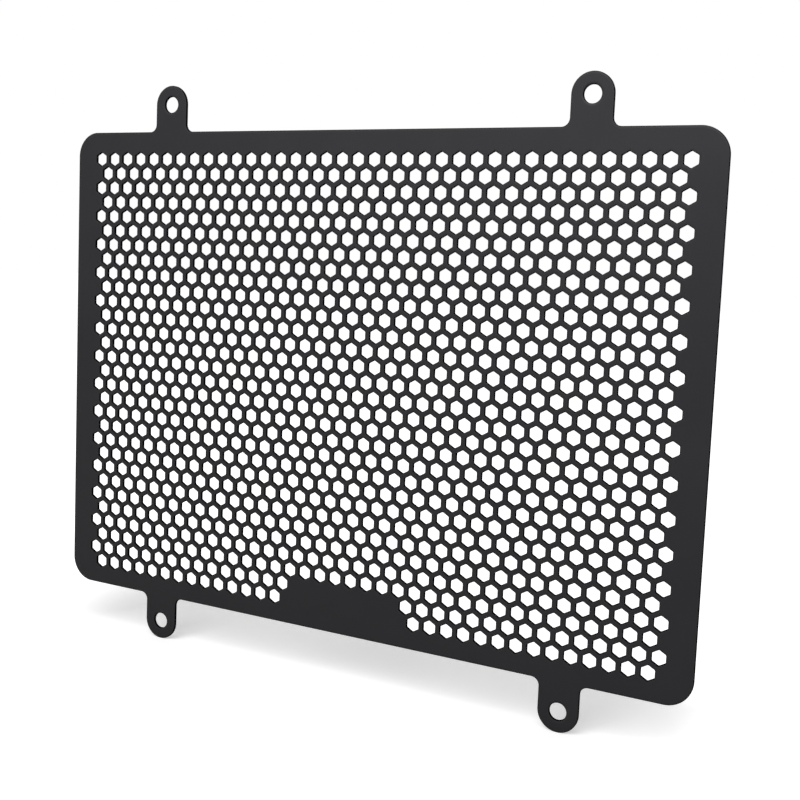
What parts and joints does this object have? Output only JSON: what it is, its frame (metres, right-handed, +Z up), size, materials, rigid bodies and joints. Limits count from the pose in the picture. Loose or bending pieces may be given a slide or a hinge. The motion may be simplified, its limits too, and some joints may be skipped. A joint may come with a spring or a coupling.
{
  "type": "motorcycle radiator guard",
  "caption": "Flat perforated sheet guard for a motorcycle radiator, with a honeycomb field of hexagonal openings and a round-ended mounting tab near each corner.",
  "frame": {"origin": "midway between the four mounting holes, on the back face of the sheet, which sits against the radiator", "axes": "+X across the guard to the right as seen from the front, +Z up the guard, and the front face looks along -Y"},
  "size_m": [0.277, 0.0012, 0.2344],
  "materials": {
    "powder_coat": "matte charcoal powder coat on steel sheet"
  },
  "bodies": {
    "root": {"guard_sheet": "powder_coat"}
  },
  "joints": []
}
